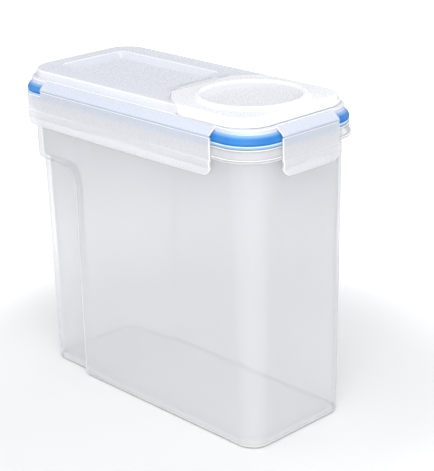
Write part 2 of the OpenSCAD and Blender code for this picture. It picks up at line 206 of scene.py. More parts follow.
@dataclass(frozen=True)
class Glow:
    """The gasket's blue painted softly into a frosted part, where it would show through.

    Attributes:
        low: level from which it shows in full.
        high: level up to which it does.
        soft: height over which it fades out below and above them.
        strength: how much of it shows.
        colour: the blue.
    """

    low: float
    high: float
    soft: float
    strength: float
    colour: Colour

    def tint(self, recipe: Recipe) -> Tint:
        """Builds the glow's tint.

        Args:
            recipe: the material under construction.

        Returns:
            The tint.
        """
        rise = recipe.ramp(recipe.height, self.low - self.soft, self.low, 0.0, self.strength)
        fall = recipe.ramp(recipe.height, self.high, self.high + self.soft, 1.0, 0.0)
        return Tint(recipe.math("MULTIPLY", rise, fall), self.colour)


@dataclass(frozen=True)
class FrostedPlastic:
    """Moulded polypropylene: cloudy, matt and partly see-through, paler where light gathers.

    Attributes:
        name: the material's name.
        colour: colour of the cloudy part.
        haze: how much of it shows where it is seen face on.
        edge_haze: the same at a grazing angle.
        edge_power: how late it rises to that.
        roughness: mean surface roughness.
        speck: how far specks take it down and up.
        speck_cells: specks per metre.
        grain: depth of the moulded grain.
        grain_cells: grains per metre.
        grain_strength: how much of the grain shows.
        ior: index of refraction.
        through: share of the cloudy part's light that comes softly through it.
        mottle: tones of its faint patches, as shares of the colour.
        mottle_cells: patches per metre.
        lit_colour: colour of the painted highlight on the edges in which light gathers.
        lit_haze: how much cloudier they are.
        lit_roughness: how much rougher they are.
        highlight_breakup: lowest share of that painted highlight left where noise breaks it up.
        highlight_breakup_cells: those breaks per metre.
        glow: blue that shows through it, or none.
        contact: colour of the shaded edge where it stands on the floor, or none.
        contact_haze: how much cloudier that edge is.
        contact_levels: levels between which the shade fades out.
        contact_lean: share of the surface's normal that is upright, where the shade fades out.
        base: paler colour painted on the container's floor where light gathers, a painted light, or none.
        base_haze: how much cloudier it is.
        base_levels: levels between which that colour fades out.
        upper: darker colour painted towards the rim as painted shade under the lid, or none for one colour
            all the way up.
        upper_haze: how much cloudier the part is there.
        upper_levels: levels at which that painted shade starts and is full.
    """

    name: str
    colour: Colour
    haze: float
    edge_haze: float
    edge_power: float = 2.5
    roughness: float = 0.34
    speck: tuple[float, float] = (0.03, 0.05)
    speck_cells: float = 900.0
    grain: float = 0.000008
    grain_cells: float = 1300.0
    grain_strength: float = 0.5
    ior: float = 1.49
    through: float = 0.12
    mottle: tuple[float, float] = (0.985, 1.01)
    mottle_cells: float = 16.0
    lit_colour: Colour = (0.955, 0.96, 0.97)
    lit_haze: float = 0.45
    lit_roughness: float = 0.05
    highlight_breakup: float = 0.93
    highlight_breakup_cells: float = 240.0
    glow: Glow | None = None
    contact: Colour | None = None
    contact_haze: float = 0.6
    contact_levels: tuple[float, float] = (0.0005, 0.0013)
    contact_lean: tuple[float, float] = (0.90, 0.98)
    base: Colour | None = None
    base_haze: float = 0.05
    base_levels: tuple[float, float] = (0.0021, 0.009)
    upper: Colour | None = None
    upper_haze: float = 0.04
    upper_levels: tuple[float, float] = (0.04, 0.17)

    def contact_share(self, recipe: Recipe) -> Socket:
        """Builds the share of shade on the turned-under edge that stands on the floor.

        Args:
            recipe: the material under construction.

        Returns:
            A value from 0 to 1.
        """
        low = recipe.ramp(recipe.height, *self.contact_levels, 1.0, 0.0)
        normal = recipe.node("NewGeometry").outputs["Normal"]
        upright = recipe.math("ABSOLUTE", recipe.node("SeparateXYZ", {0: normal}).outputs["Z"])
        return recipe.math("MULTIPLY", low, recipe.ramp(upright, *self.contact_lean, 1.0, 0.0))

    def tints(self, recipe: Recipe, painted_edge_light: Socket) -> list[Tint]:
        """Lists the tints over the plastic's own colour, in the order in which they are laid.

        Args:
            recipe: the material under construction.
            painted_edge_light: how strongly the painted edge highlight shows at each point.

        Returns:
            The tints.
        """
        found = []
        if self.base:
            # painted light: the container's floor is made paler
            floor_light_share = recipe.ramp(recipe.height, *self.base_levels, 1.0, 0.0)
            found.append(Tint(floor_light_share, self.base, self.base_haze))
        if self.upper:
            # painted shade: the body turns darker towards the rim, under the lid
            climb = recipe.ramp(recipe.height, *self.upper_levels)
            found.append(Tint(climb, self.upper, self.upper_haze))
        if self.glow:
            # painted light: the gasket's blue is painted in where it would show through
            found.append(self.glow.tint(recipe))
        found.append(Tint(painted_edge_light, self.lit_colour, self.lit_haze))
        if self.contact:
            found.append(Tint(self.contact_share(recipe), self.contact, self.contact_haze))
        return found

    def material(self) -> bpy.types.Material:
        """Builds the node material.

        Returns:
            The material.
        """
        recipe = Recipe(bpy.data.materials.new(self.name))
        dim, bright = (tuple(c * share for c in self.colour) for share in self.mottle)
        colour = recipe.mix(recipe.patches(self.mottle_cells, 1.0), dim, bright)
        # painted highlight: edges are made paler where light gathers, broken up a little by noise
        highlight_breakup_share = recipe.ramp(recipe.noise(self.highlight_breakup_cells, 2.0), 0.35, 0.65, self.highlight_breakup, 1.0)
        painted_edge_light = recipe.math("MULTIPLY", recipe.edge_light(), highlight_breakup_share)
        facing = recipe.node("LayerWeight", {"Blend": 0.5}).outputs["Facing"]
        lean = recipe.math("POWER", facing, self.edge_power)
        haze = recipe.ramp(lean, 0.0, 1.0, self.haze, self.edge_haze)
        for tint in self.tints(recipe, painted_edge_light):
            colour = recipe.mix(tint.share, colour, tint.colour)
            haze = recipe.math("ADD", haze, recipe.math("MULTIPLY", tint.share, tint.haze), clamp=True)
        smooth, rough = self.roughness - self.speck[0], self.roughness + self.speck[1]
        rough = recipe.patches(self.speck_cells, 2.0, smooth, rough)
        rough = recipe.math("ADD", rough, recipe.math("MULTIPLY", painted_edge_light, self.lit_roughness))
        shell = recipe.moulded(colour, rough, self.ior, self.grain_cells, self.grain, self.grain_strength)
        cloud = recipe.blend(self.through, shell, recipe.node("BsdfTranslucent", {"Color": colour}))
        recipe.surface(recipe.blend(haze, recipe.node("BsdfTransparent"), cloud))
        return recipe.owner


@dataclass(frozen=True)
class Silicone:
    """Coloured silicone rubber with a soft sheen, with a painted highlight along its top, on its underside
    and where light gathers.

    Attributes:
        name: the material's name.
        colour: main colour.
        deep: colour in its darker patches.
        patch_cells: those patches per metre.
        pale: colour of the painted highlight along its top.
        pale_levels: levels at which that painted highlight starts and is full.
        foot: colour of the painted highlight on the bead along its underside.
        foot_levels: levels between which that painted highlight fades out.
        lit_colour: colour of the painted highlight on the edges in which light gathers.
        roughness: range of its roughness.
        sheen_cells: patches of roughness per metre.
        grain: depth of its grain.
        grain_cells: grains per metre.
        grain_strength: how much of the grain shows.
        ior: index of refraction.
    """

    name: str
    colour: Colour
    deep: Colour
    patch_cells: float = 60.0
    pale: Colour = (0.36, 0.58, 0.84)
    pale_levels: tuple[float, float] = (0.1915, 0.1944)
    foot: Colour = (0.26, 0.40, 0.62)
    foot_levels: tuple[float, float] = (0.1879, 0.1882)
    lit_colour: Colour = (0.62, 0.84, 1.0)
    roughness: tuple[float, float] = (0.36, 0.46)
    sheen_cells: float = 700.0
    grain: float = 0.00004
    grain_cells: float = 1600.0
    grain_strength: float = 0.4
    ior: float = 1.42

    def material(self) -> bpy.types.Material:
        """Builds the node material.

        Returns:
            The material.
        """
        recipe = Recipe(bpy.data.materials.new(self.name))
        colour = recipe.mix(recipe.patches(self.patch_cells, 3.0), self.deep, self.colour)
        # painted highlights along the top, on the underside's bead and at the edges
        colour = recipe.mix(recipe.ramp(recipe.height, *self.pale_levels), colour, self.pale)
        colour = recipe.mix(recipe.ramp(recipe.height, *self.foot_levels), self.foot, colour)
        colour = recipe.mix(recipe.edge_light(), colour, self.lit_colour)
        rough = recipe.patches(self.sheen_cells, 2.0, *self.roughness)
        shell = recipe.moulded(colour, rough, self.ior, self.grain_cells, self.grain, self.grain_strength)
        recipe.surface(shell)
        return recipe.owner


BODY_FINISH = FrostedPlastic(
    "frosted_body", (0.78, 0.78, 0.80), 0.37, 0.50, upper=(0.635, 0.64, 0.67),
    contact=(0.33, 0.32, 0.32), base=(0.79, 0.79, 0.805),
)
LID_FINISH = FrostedPlastic(
    "frosted_lid", (0.785, 0.805, 0.865), 0.80, 0.93, roughness=0.28, grain=0.000002,
    glow=Glow(0.1893, 0.1945, 0.0022, 0.16, (0.50, 0.66, 0.93)),
)
FLAP_FINISH = FrostedPlastic(
    "frosted_flap", (0.775, 0.78, 0.81), 0.64, 0.82, roughness=0.28, grain=0.000003,
    glow=Glow(0.1868, 0.1884, 0.0026, 0.17, (0.35, 0.58, 0.94)),
)
HINGE_FINISH = FrostedPlastic("frosted_hinge", (0.60, 0.67, 0.78), 0.72, 0.85, roughness=0.3)
CAP_FINISH = FrostedPlastic("milky_cap", (0.855, 0.86, 0.89), 0.84, 0.95, roughness=0.26, grain=0.000002)
SEAL_FINISH = Silicone("blue_silicone", (0.03, 0.215, 0.57), (0.02, 0.175, 0.51))


# ---------------------------------------------------------------- moulding tools


def held(value: float) -> float:
    """Holds a value between 0 and 1."""
    return max(0.0, min(1.0, value))


@dataclass(frozen=True)
class Corner:
    """A corner of an outline in plan.

    Attributes:
        x: distance along the container.
        y: distance across it.
        radius: its rounding.
        segments: facets of that rounding.
        lit: how strongly light gathers in it, from 0 to 1.
    """

    x: float
    y: float
    radius: float
    segments: int
    lit: float = 0.0


@dataclass(frozen=True)
class Step:
    """One ring of a moulded section.

    Attributes:
        inset: how far the outline is drawn in there, or a turned ring's radius.
        height: its level above the base.
        round: rounding given to its edge, or nothing.
        lit: how strongly light gathers in it, from 0 to 1.
    """

    inset: float
    height: float
    round: float = 0.0
    lit: float = 0.0


class Moulding:
    """A mesh under construction, with the moulder's operations used here."""

    def __init__(self, name: str) -> None:
        """Starts an empty mesh.

        Args:
            name: the piece's name.
        """
        self.name = name
        self.bm = bmesh.new()
        self.light = self.bm.verts.layers.float.new(LIGHT_LAYER)

    def round_off(self, geom: list, radius: float, segments: int, affect: str) -> dict[str, list]:
        """Rounds corners or edges.

        Args:
            geom: the vertices or edges.
            radius: the rounding.
            segments: its facets.
            affect: VERTICES or EDGES.

        Returns:
            The new vertices and faces.
        """
        return bmesh.ops.bevel(
            self.bm, geom=geom, offset=radius * MM, offset_type="OFFSET", segments=segments, profile=0.5,
            material=-1, affect=affect, clamp_overlap=False,
        )

    def opened(self, before: set[bmesh.types.BMEdge]) -> Ring:
        """Takes away the faces inside a new outline.

        Args:
            before: the edges that were there before it was drawn.

        Returns:
            The outline's edges.
        """
        edges = [e for e in self.bm.edges if e not in before]
        bmesh.ops.delete(self.bm, geom=list({f for e in edges for f in e.link_faces}), context="FACES_ONLY")
        return edges

    def ring(self, corners: list[Corner], height: float) -> Ring:
        """Draws a closed outline with rounded corners.

        Args:
            corners: the outline's corners, in order.
            height: its level.

        Returns:
            The outline's edges.
        """
        before = set(self.bm.edges)
        verts = [self.bm.verts.new((c.x * MM, c.y * MM, height * MM)) for c in corners]
        self.bm.faces.new(verts)
        for vert, corner in zip(verts, corners):
            point = vert.co.copy()
            made = self.round_off([vert], corner.radius, corner.segments, "VERTICES")
            if corner.lit:
                arc = sorted(made["verts"], key=lambda v: (v.co - point).length)
                self.light_up(arc[:-2], corner.lit)
        return self.opened(before)

    def circle(self, centre_x: float, radius: float, height: float) -> Ring:
        """Draws a circle about an upright axis.

        Args:
            centre_x: the axis's place along the container.
            radius: the circle's radius.
            height: its level.

        Returns:
            The circle's edges.
        """
        place = Matrix.Translation(Vector((centre_x, 0, height)) * MM)
        made = bmesh.ops.create_circle(self.bm, cap_ends=False, radius=radius * MM, segments=96, matrix=place)
        return list({e for v in made["verts"] for e in v.link_edges})

    def rod(self, centre: Vector, radius: float, length: float, facets: int) -> None:
        """Adds a round rod that lies across the container.

        Args:
            centre: its middle.
            radius: its radius.
            length: its length.
            facets: its facets.
        """
        bmesh.ops.create_cone(
            self.bm, cap_ends=True, segments=facets, radius1=radius * MM, radius2=radius * MM,
            depth=length * MM, matrix=Matrix.Translation(centre * MM) @ Matrix.Rotation(math.pi / 2, 4, "X"),
        )

    def loft(self, rings: list[Ring], closed: bool = False) -> None:
        """Skins a run of rings.

        Rings that are level with each other are held apart while they are joined, so that the
        joint never crosses over.

        Args:
            rings: the rings, in order.
            closed: whether the last one joins the first.
        """
        for low, high in zip(rings, rings[1:] + (rings[:1] if closed else [])):
            near, away = {v for e in low for v in e.verts}, {v for e in high for v in e.verts}
            rise = sum(v.co.z for v in away) / len(away) - sum(v.co.z for v in near) / len(near)
            lift = Vector((0, 0, APART - rise))
            bmesh.ops.translate(self.bm, vec=lift, verts=list(away))
            bmesh.ops.bridge_loops(self.bm, edges=low + high)
            bmesh.ops.translate(self.bm, vec=-lift, verts=list(away))

    def cover(self, ring: Ring) -> None:
        """Closes a ring with a flat face."""
        bmesh.ops.holes_fill(self.bm, edges=ring, sides=0)

    def light_up(self, verts: object, lit: float) -> None:
        """Marks vertices in which light gathers, by how strongly it does."""
        for vert in verts:
            vert[self.light] = max(vert[self.light], lit)

    def light_rings(self, rings: list[Ring], lights: list[float]) -> None:
        """Marks rings in which light gathers, by how strongly it does in each."""
        for ring, lit in zip(rings, lights):
            self.light_up({v for e in ring for v in e.verts}, lit)

    def soften(self, edges: Ring, radius: float, lit: float) -> None:
        """Rounds edges and marks the new faces.

        Args:
            edges: the edges to round.
            radius: the rounding.
            lit: how strongly light gathers in the rounding.
        """
        if not edges or radius <= 0:
            return
        made = self.round_off(edges, radius, 3, "EDGES")
        faces = set(made["faces"])
        self.light_up([v for v in made["verts"] if v.is_valid and all(f in faces for f in v.link_faces)], lit)

    def section(self, outline: object, steps: list[Step], closed: bool = False) -> None:
        """Moulds a wall whose section is a run of steps round an outline.

        Args:
            outline: a function from a step to the outline's corners.
            steps: the section's steps, in order.
            closed: whether the section is a closed ring.
        """
        rings = [self.ring(outline(step), step.height) for step in steps]
        self.light_rings(rings, [step.lit if step.round == 0 else 0.0 for step in steps])
        self.loft(rings, closed)
        if not closed:
            self.cover(rings[0])
            self.cover(rings[-1])
        for ring, step in zip(rings, steps):
            self.soften(ring, step.round, step.lit)

    def turned(self, centre_x: float, steps: list[Step]) -> None:
        """Turns a closed section about an upright axis.

        Args:
            centre_x: the axis's place along the container.
            steps: the section's steps, in order.
        """
        rings = [self.circle(centre_x, step.inset, step.height) for step in steps]
        self.loft(rings, True)
        for ring, step in zip(rings, steps):
            self.soften(ring, step.round, step.lit)

    def trace(self, node: str) -> None:
        """Starts from a welded copy of a CAD node, which itself is left alone.

        Args:
            node: the CAD node's name.
        """
        self.bm.from_mesh(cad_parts[node].data)
        layers = self.bm.verts.layers.float
        self.light = layers.get(LIGHT_LAYER) or layers.new(LIGHT_LAYER)
        bmesh.ops.remove_doubles(self.bm, verts=self.bm.verts, dist=WELD)
        bmesh.ops.dissolve_limit(
            self.bm, angle_limit=math.radians(0.3), verts=self.bm.verts, edges=self.bm.edges,
        )

    def panel(self, corners: list[Corner]) -> None:
        """Draws a flat face with rounded corners, given as distance along it and height."""
        edges = self.ring(corners, 0.0)
        bmesh.ops.contextual_create(self.bm, geom=edges)

    def cut(self, axis: Axis, place: float, keep: int = 0) -> None:
        """Scores the mesh along a plane, or cuts one side of it away and closes the cut.

        Args:
            axis: the axis that the plane is square to.
            place: the plane's place on it.
            keep: 1 to keep what lies further on, -1 to keep what lies before, 0 to keep both.
        """
        point, normal = Vector(), Vector()
        point[axis.value], normal[axis.value] = place, keep or 1
        made = bmesh.ops.bisect_plane(
            self.bm, geom=self.bm.verts[:] + self.bm.edges[:] + self.bm.faces[:], dist=1e-7,
            plane_co=point * MM, plane_no=normal, clear_inner=bool(keep),
        )
        if keep:
            self.cover([g for g in made["geom_cut"] if isinstance(g, bmesh.types.BMEdge)])

    def corners_only(self, half_l: float, half_w: float, rear: bool) -> None:
        """Keeps the corners of a ring and closes their ends.

        Args:
            half_l: half the length that is cut out of the long sides.
            half_w: half the length that is cut out of the short sides.
            rear: whether the rear corners stay too.
        """
        for side in (-1, 1):
            self.cut(Axis.X, side * half_l)
            self.cut(Axis.Y, side * half_w)
        gone = []
        for face in self.bm.faces:
            centre = face.calc_center_median() / MM
            if (abs(centre.x) if rear else centre.x) < half_l or abs(centre.y) < half_w:
                gone.append(face)
        bmesh.ops.delete(self.bm, geom=gone, context="FACES")
        self.cover([e for e in self.bm.edges if len(e.link_faces) == 1])

    def thicken(self, wall: float, outward: Axis) -> None:
        """Gives a skin its thickness, inwards.

        Args:
            wall: the thickness.
            outward: the axis that the skin's outside mostly faces along.
        """
        bmesh.ops.recalc_face_normals(self.bm, faces=self.bm.faces)
        if sum(f.normal[outward.value] * f.calc_area() for f in self.bm.faces) < 0:
            bmesh.ops.reverse_faces(self.bm, faces=self.bm.faces)
        bmesh.ops.solidify(self.bm, geom=self.bm.faces[:], thickness=wall * MM)

    def crisp(self, angle: float, above: float | None = None) -> Ring:
        """Finds the edges that turn by more than an angle.

        Args:
            angle: the angle in degrees.
            above: if given, only outward edges above this level are found.

        Returns:
            The edges.
        """
        limit = math.radians(angle)
        found = [e for e in self.bm.edges if len(e.link_faces) == 2 and e.calc_face_angle(0.0) > limit]
        if above is None:
            return found
        return [e for e in found if e.is_convex and min(v.co.z for v in e.verts) > above * MM]

    def finish(self, material: bpy.types.Material, crease: float) -> bpy.types.Object:
        """Closes the mesh and makes it an object.

        Args:
            material: the piece's material.
            crease: angle in degrees above which an edge stays crisp.

        Returns:
            The new object, at the origin.
        """
        bmesh.ops.dissolve_degenerate(self.bm, dist=SLIVER, edges=self.bm.edges)
        bmesh.ops.recalc_face_normals(self.bm, faces=self.bm.faces)
        for face in self.bm.faces:
            face.smooth = True
        for edge in self.bm.edges:
            edge.smooth = len(edge.link_faces) == 2 and edge.calc_face_angle(0.0) < math.radians(crease)
        mesh = bpy.data.meshes.new(self.name)
        self.bm.to_mesh(mesh)
        self.bm.free()
        mesh.materials.append(material)
        made = bpy.data.objects.new(self.name, mesh)
        bpy.context.scene.collection.objects.link(made)
        even = made.modifiers.new("even_shading", "WEIGHTED_NORMAL")
        even.keep_sharp = True
        return made


def hand_over(
    made: Moulding, material: bpy.types.Material, rider: Rider, slot: Slot, *nodes: str, crease: float = 32.0,
) -> None:
    """Finishes a piece, gives it its body and hides the nodes it stands for.

    Args:
        made: the moulded piece.
        material: its material.
        rider: the body it moves with.
        slot: the record's material slot; not used.
        *nodes: the CAD nodes that it replaces.
        crease: angle in degrees above which its edges stay crisp.
    """
    piece = made.finish(material, crease)
    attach(piece, rider.value)
    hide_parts(*nodes)
    log.info("built %s", piece.name)


# ---------------------------------------------------------------- pieces


@dataclass(frozen=True)
class RimPlan:
    """The rounded outline of the container's rim, shared by the rim, the gasket and the lid.

    Attributes:
        half_l: half its length.
        half_w: half its width.
        radius: its corner radius.
        segments: facets of a corner.
    """

    half_l: float = 104.8
    half_w: float = 47.8
    radius: float = 22.0
    segments: int = 14

    def outline(self, step: Step) -> list[Corner]:
        """Gives the outline, drawn in by a step's inset.

        Args:
            step: the step.

        Returns:
            The outline's corners.
        """
        x, y, radius = self.half_l - step.inset, self.half_w - step.inset, self.radius - step.inset
        places = ((-x, -y), (x, -y), (x, y), (-x, y))
        return [Corner(*place, radius, self.segments) for place in places]


RIM = RimPlan()


@dataclass
class Container:
    """The tall box with its grip recesses and its banded rim.

    Attributes:
        rim: the rim's outline.
        height: level of the mouth.
        overhang: how far the rim stands out past the wall.
        end_lean: how much each end leans in towards the base.
        side_lean: how much each side leans in towards the base.
        base_radius: corner radius at the base.
        wall: wall thickness.
        floor: floor thickness.
        foot: rounding round the base.
        fillet: rounding round the floor inside.
        band: height of the rim's band.
        band_wall: thickness of that band.
        grip_top: height of the grip recesses.
        grip_depth: their depth.
        grip_front: their front edge at the top, along the container.
        grip_slant: how much further back that edge is at the base.
        grip_radius: radius of their upper front corner.
        grip_arch: levels at which that corner is drawn, as shares of its radius below the top.
        grip_edge: distance above the top of a recess, and the share of its depth left there.
        grip_run: how far the front edge runs along the container.
        grip_rounds: rounding of that edge inside the recess and outside it.
        grip_round_share: largest such rounding, as a share of the edge's slope.
        grip_glints: how strongly light gathers in it: outside, inside and on the far side.
        rear_ease: how much of the recess's depth the rear corners' radius loses.
        rear_inner: how much larger that radius is on the inside.
        bead: how far the bead at the rim's front corners stands out.
        bead_height: its height.
        bead_back: how far it reaches into the rim.
        bead_ends: half the lengths of the rim that it leaves free, along and across.
    """

    rim: RimPlan = RIM
    height: float = 186.0
    overhang: float = 4.1
    end_lean: float = 3.2
    side_lean: float = 3.4
    base_radius: float = 12.5
    wall: float = 1.8
    floor: float = 2.0
    foot: float = 2.6
    fillet: float = 5.5
    band: float = 7.3
    band_wall: float = 1.8
    grip_top: float = 144.0
    grip_depth: float = 5.0
    grip_front: float = -54.8
    grip_slant: float = 3.0
    grip_radius: float = 11.0
    grip_arch: tuple[float, ...] = (1.0, 0.72, 0.48, 0.30, 0.19)
    grip_edge: tuple[tuple[float, float], ...] = (
        (-1.4, 1.0), (-0.5, 0.92), (0.0, 0.72), (0.06, 0.26), (0.45, 0.08), (1.3, 0.004),
    )
    grip_run: float = 1.2
    grip_rounds: tuple[float, float] = (1.6, 2.0)
    grip_round_share: float = 0.42
    grip_glints: tuple[float, float, float] = (0.85, 0.2975, 0.425)
    rear_ease: float = 0.2
    rear_inner: float = 4.0
    bead: float = 1.2
    bead_height: float = 1.9
    bead_back: float = 0.9
    bead_ends: tuple[float, float] = (76.2, 24.2)

    def grip(self, level: float, inset: float) -> tuple[float, float]:
        """Gives the recess's depth and front edge at a level.

        Args:
            level: height above the base.
            inset: how far the wall is drawn in there.

        Returns:
            Its depth and the place of its front edge.
        """
        top, radius = self.grip_top + inset, self.grip_radius + inset
        straight = top - radius
        front = self.grip_front + inset
        if level <= straight:
            front -= self.grip_slant * (1 - level / straight)
        else:
            climb = min(level, top) - straight
            front += math.sqrt(max(0.0, radius**2 - climb**2)) - radius
        past = level - top
        share = self.grip_edge[0][1] if past <= self.grip_edge[0][0] else self.grip_edge[-1][1]
        for (a, low), (b, high) in zip(self.grip_edge, self.grip_edge[1:]):
            if a < past <= b:
                share = low + (high - low) * (past - a) / (b - a)
        return share * self.grip_depth, front

    def outline(self, step: Step) -> list[Corner]:
        """Gives the box's outline at a step, with its grip recesses.

        Args:
            step: the level, and how far the wall is drawn in there.

        Returns:
            The outline's corners.
        """
        inside = step.inset > 1
        share = 1.0 if step.inset < 0 else step.height / self.height
        half_l = self.rim.half_l - self.overhang - self.end_lean * (1 - share) - step.inset
        half_w = self.rim.half_w - self.overhang - self.side_lean * (1 - share) - step.inset
        radius = self.base_radius + (self.rim.radius - self.overhang - self.base_radius) * share - step.inset
        depth, front = self.grip(step.height, step.inset)
        back = front - self.grip_run
        edge = self.grip_round_share * math.hypot(self.grip_run, depth)
        inner, outer = (min(most, edge) for most in self.grip_rounds)
        rear = radius - self.rear_ease * depth + (self.rear_inner if inside else 0.0)
        lit = 0.0 if inside else min(1.0, depth / self.grip_depth)
        outer_lit, inner_lit, far_lit = (lit * glint for glint in self.grip_glints)
        return [
            Corner(-half_l, depth - half_w, rear, 12),
            Corner(back, depth - half_w, inner, 4, inner_lit),
            Corner(front, -half_w, outer, 4, outer_lit),
            Corner(half_l, -half_w, radius, 12),
            Corner(half_l, half_w, radius, 12),
            Corner(front, half_w, outer, 4, far_lit),
            Corner(back, half_w - depth, inner, 4),
            Corner(-half_l, half_w - depth, rear, 12),
        ]

    def grip_steps(self, inset: float) -> list[Step]:
        """Gives the steps at which the recess's upper part is drawn.

        Args:
            inset: how far the wall is drawn in.

        Returns:
            The steps, from the lowest up.
        """
        top, radius = self.grip_top + inset, self.grip_radius + inset
        arch = [Step(inset, top - radius * share) for share in self.grip_arch]
        return arch + [Step(inset, top + past) for past, _ in self.grip_edge]

    def shell(self) -> Moulding:
        """Moulds the box and its rim in one piece.

        Returns:
            The moulded box.
        """
        made = Moulding("container_shell")
        under, lip = self.height - self.band, self.height - self.band_wall
        out, mid = -self.overhang, -self.overhang + self.band_wall
        wall, foot, fillet = self.wall, self.foot, self.fillet
        outside = [
            Step(foot + 2, 0), Step(0, 0, foot, 0.9), Step(0, foot + 2.5, 0, 0.25), Step(0, foot + 5.5),
            *self.grip_steps(0), Step(0, under), Step(0, lip, 0.6),
        ]
        edge = [
            Step(mid, lip, 0.5), Step(mid, under, 0.4, 0.6), Step(out, under, 0.7, 0.9),
            Step(out, under + 2.2, 0, 0.44), Step(out, self.height - 1.9, 0, 0.44),
            Step(out, self.height, 0.8, 1.0), Step(wall, self.height, 0.5, 0.6),
        ]
        inside = [
            Step(wall, self.height - 2.0), Step(wall, under), *reversed(self.grip_steps(wall)),
            Step(wall, self.floor + fillet + 2),
        ]
        for turn in (0, 22.5, 45, 67.5, 90):
            t = math.radians(turn)
            inside.append(Step(wall + fillet * (1 - math.cos(t)), self.floor + fillet * (1 - math.sin(t))))
        inside.append(Step(wall + fillet + 1.5, self.floor))
        made.section(self.outline, outside + edge + inside)
        return made

    def corner_bead(self) -> Moulding:
        """Moulds the bead at the rim's front corners, between the flaps.

        Returns:
            The moulded beads.
        """
        made = Moulding("rim_corner_beads")
        low = self.height - self.band
        high = low + self.bead_height
        made.section(self.rim.outline, [
            Step(self.bead_back, low), Step(-self.bead, low, 0.55, 1.0), Step(-self.bead, high, 0.55, 1.0),
            Step(self.bead_back, high),
        ], closed=True)
        made.corners_only(*self.bead_ends, rear=False)
        return made

    def build(self, finish: bpy.types.Material) -> None:
        """Moulds the container in its frosted plastic."""
        hand_over(self.shell(), finish, Rider.CONTAINER, Slot.BODY, "container_body")
        hand_over(self.corner_bead(), finish, Rider.CONTAINER, Slot.BODY)


@dataclass
class Gasket:
    """The blue ring between the rim and the lid.

    Attributes:
        rim: the rim's outline.
        low: level of its underside.
        high: level of its top.
        lip: height of its lower lip.
        groove: height of the groove above that.
        inner: how far its inner face is set in from the rim.
    """

    rim: RimPlan = RIM
    low: float = 186.3
    high: float = 194.4
    lip: float = 1.8
    groove: float = 0.8
    inner: float = 6.2

    def build(self, finish: bpy.types.Material) -> None:
        """Moulds the gasket.

        Args:
            finish: its silicone.
        """
        made = Moulding("lid_gasket_ring")
        lip, ledge, low, high = self.low + self.lip, self.low + self.lip + self.groove, self.low, self.high
        made.section(self.rim.outline, [
            Step(self.inner, low), Step(0.1, low, 0.5), Step(0.1, lip, 0.7, 1.0), Step(1.0, lip, 0.2),
            Step(1.0, ledge, 0.2), Step(0.2, ledge, 0.3), Step(0.2, low + 3.6, 0.4),
            Step(1.15, low + 5.3), Step(2.3, low + 6.5), Step(3.5, high - 0.7), Step(5.0, high - 0.4, 0.2),
            Step(self.inner, high - 0.4),
        ], closed=True)
        hand_over(made, finish, Rider.LID, Slot.SEAL, "lid_gasket", crease=24.0)


@dataclass(frozen=True)
class Side:
    """One side of the lid, and the flap that hangs there.

    Attributes:
        rider: the body that the flap is.
        reach: distance from the lid's middle to the rim.
        heading: the side's bearing in degrees.
        length: length of the flap's hinge.
        tail: how much longer the flap is below.
        columns: columns of faces in its plate.
        mirrored: whether it is drawn the other way round.
    """

    rider: Rider
    reach: float
    heading: float
    length: float
    tail: float
    columns: int
    mirrored: bool = False

    def place(self, made: Moulding) -> None:
        """Moves what was drawn for the +X side to this side.

        Args:
            made: the mesh under construction.
        """
        verts = made.bm.verts
        if self.mirrored:
            bmesh.ops.scale(made.bm, vec=(1, -1, 1), verts=verts)
        bmesh.ops.translate(made.bm, vec=(self.reach * MM, 0, 0), verts=verts)
        turn = Matrix.Rotation(math.radians(self.heading), 3, "Z")
        bmesh.ops.rotate(made.bm, cent=(0, 0, 0), matrix=turn, verts=verts)


SIDES = (
    Side(Rider.NEAR_FLAP, RIM.half_w, -90.0, 150.4, 13.0, 24),
    Side(Rider.FAR_FLAP, RIM.half_w, 90.0, 150.4, 13.0, 24, mirrored=True),
    Side(Rider.FRONT_FLAP, RIM.half_l, 0.0, 46.4, 0.0, 10),
    Side(Rider.REAR_FLAP, RIM.half_l, 180.0, 46.4, 0.0, 10),
)


